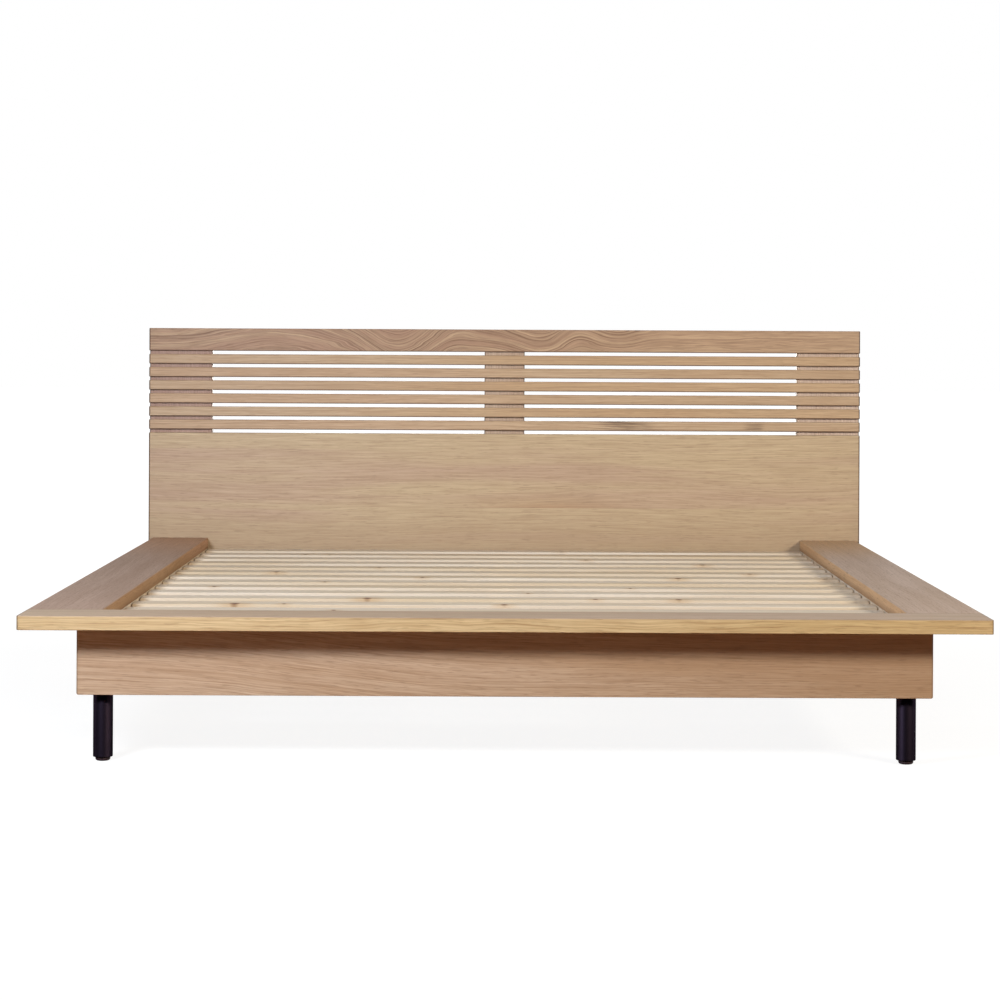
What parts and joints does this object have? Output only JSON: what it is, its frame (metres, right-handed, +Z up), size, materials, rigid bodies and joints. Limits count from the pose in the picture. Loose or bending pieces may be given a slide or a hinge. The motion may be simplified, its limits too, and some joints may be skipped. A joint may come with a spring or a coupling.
{
  "type": "platform bed",
  "caption": "Low oak platform bed with wide ledges round a slatted deck, a headboard of horizontal slats over a panel, and round steel legs with screw-in glides.",
  "frame": {"origin": "on the floor, under the middle of the whole outline", "axes": "+X to the right seen from the foot, +Y from the foot to the headboard, +Z up"},
  "size_m": [2.2, 2.212, 0.994],
  "materials": {
    "oak": "oak, clear satin lacquer",
    "pine": "planed pine, unfinished",
    "black_steel": "black powder coat, satin",
    "black_plastic": "black moulded nylon, matt",
    "zinc_steel": "bright zinc plate",
    "dark_steel": "black phosphated steel, dull"
  },
  "bodies": {
    "bed": {"headboard_top_rail": "oak", "headboard_slat_1": "oak", "headboard_slat_2": "oak", "headboard_slat_3": "oak", "headboard_slat_4": "oak", "headboard_slat_5": "oak", "headboard_slat_6": "oak", "headboard_panel": "oak", "headboard_post_left": "oak", "headboard_post_centre": "oak", "headboard_post_right": "oak", "left_ledge": "oak", "right_ledge": "oak", "foot_ledge": "oak", "left_rail": "oak", "right_rail": "oak", "foot_rail": "oak", "head_rail": "oak", "corner_blocks": "pine", "left_slat_batten": "pine", "right_slat_batten": "pine", "centre_beam": "pine", "slat_1": "pine", "slat_2": "pine", "slat_3": "pine", "slat_4": "pine", "slat_5": "pine", "slat_6": "pine", "slat_7": "pine", "slat_8": "pine", "slat_9": "pine", "slat_10": "pine", "slat_11": "pine", "slat_12": "pine", "slat_13": "pine", "slat_14": "pine", "slat_15": "pine", "headboard_screws": "dark_steel", "slat_screws": "dark_steel", "bed_bolts": "zinc_steel", "threaded_inserts": "zinc_steel", "ledge_screws": "zinc_steel", "batten_screws": "zinc_steel", "beam_brackets": "zinc_steel", "bracket_screws": "zinc_steel", "leg_foot_left": "black_steel", "leg_foot_right": "black_steel", "leg_head_left": "black_steel", "leg_head_right": "black_steel", "leg_centre": "black_steel"},
    "stem_foot_left": {"glide_stem_foot_left": "zinc_steel"},
    "pad_foot_left": {"glide_pad_foot_left": "black_plastic"},
    "stem_foot_right": {"glide_stem_foot_right": "zinc_steel"},
    "pad_foot_right": {"glide_pad_foot_right": "black_plastic"},
    "stem_head_left": {"glide_stem_head_left": "zinc_steel"},
    "pad_head_left": {"glide_pad_head_left": "black_plastic"},
    "stem_head_right": {"glide_stem_head_right": "zinc_steel"},
    "pad_head_right": {"glide_pad_head_right": "black_plastic"},
    "stem_centre": {"glide_stem_centre": "zinc_steel"},
    "pad_centre": {"glide_pad_centre": "black_plastic"}
  },
  "joints": [
    {"name": "level_foot_left", "type": "slide", "parent": "bed", "child": "stem_foot_left", "axis": [0, 0, -1], "range_m": [0, 0.012]},
    {"name": "turn_foot_left", "type": "hinge", "parent": "stem_foot_left", "child": "pad_foot_left", "pos_m": [-0.916, -0.948, 0.005], "axis": [0, 0, -1], "range_deg": [0, 2880]},
    {"name": "level_foot_right", "type": "slide", "parent": "bed", "child": "stem_foot_right", "axis": [0, 0, -1], "range_m": [0, 0.012]},
    {"name": "turn_foot_right", "type": "hinge", "parent": "stem_foot_right", "child": "pad_foot_right", "pos_m": [0.916, -0.948, 0.005], "axis": [0, 0, -1], "range_deg": [0, 2880]},
    {"name": "level_head_left", "type": "slide", "parent": "bed", "child": "stem_head_left", "axis": [0, 0, -1], "range_m": [0, 0.012]},
    {"name": "turn_head_left", "type": "hinge", "parent": "stem_head_left", "child": "pad_head_left", "pos_m": [-0.916, 1.006, 0.005], "axis": [0, 0, -1], "range_deg": [0, 2880]},
    {"name": "level_head_right", "type": "slide", "parent": "bed", "child": "stem_head_right", "axis": [0, 0, -1], "range_m": [0, 0.012]},
    {"name": "turn_head_right", "type": "hinge", "parent": "stem_head_right", "child": "pad_head_right", "pos_m": [0.916, 1.006, 0.005], "axis": [0, 0, -1], "range_deg": [0, 2880]},
    {"name": "level_centre", "type": "slide", "parent": "bed", "child": "stem_centre", "axis": [0, 0, -1], "range_m": [0, 0.012]},
    {"name": "turn_centre", "type": "hinge", "parent": "stem_centre", "child": "pad_centre", "pos_m": [0, 0.247, 0.005], "axis": [0, 0, -1], "range_deg": [0, 2880]}
  ],
  "couplings": [
    {"joint": "turn_foot_left", "follows": "level_foot_left", "rad_per_m": 4188.8},
    {"joint": "turn_foot_right", "follows": "level_foot_right", "rad_per_m": 4188.8},
    {"joint": "turn_head_left", "follows": "level_head_left", "rad_per_m": 4188.8},
    {"joint": "turn_head_right", "follows": "level_head_right", "rad_per_m": 4188.8},
    {"joint": "turn_centre", "follows": "level_centre", "rad_per_m": 4188.8}
  ]
}
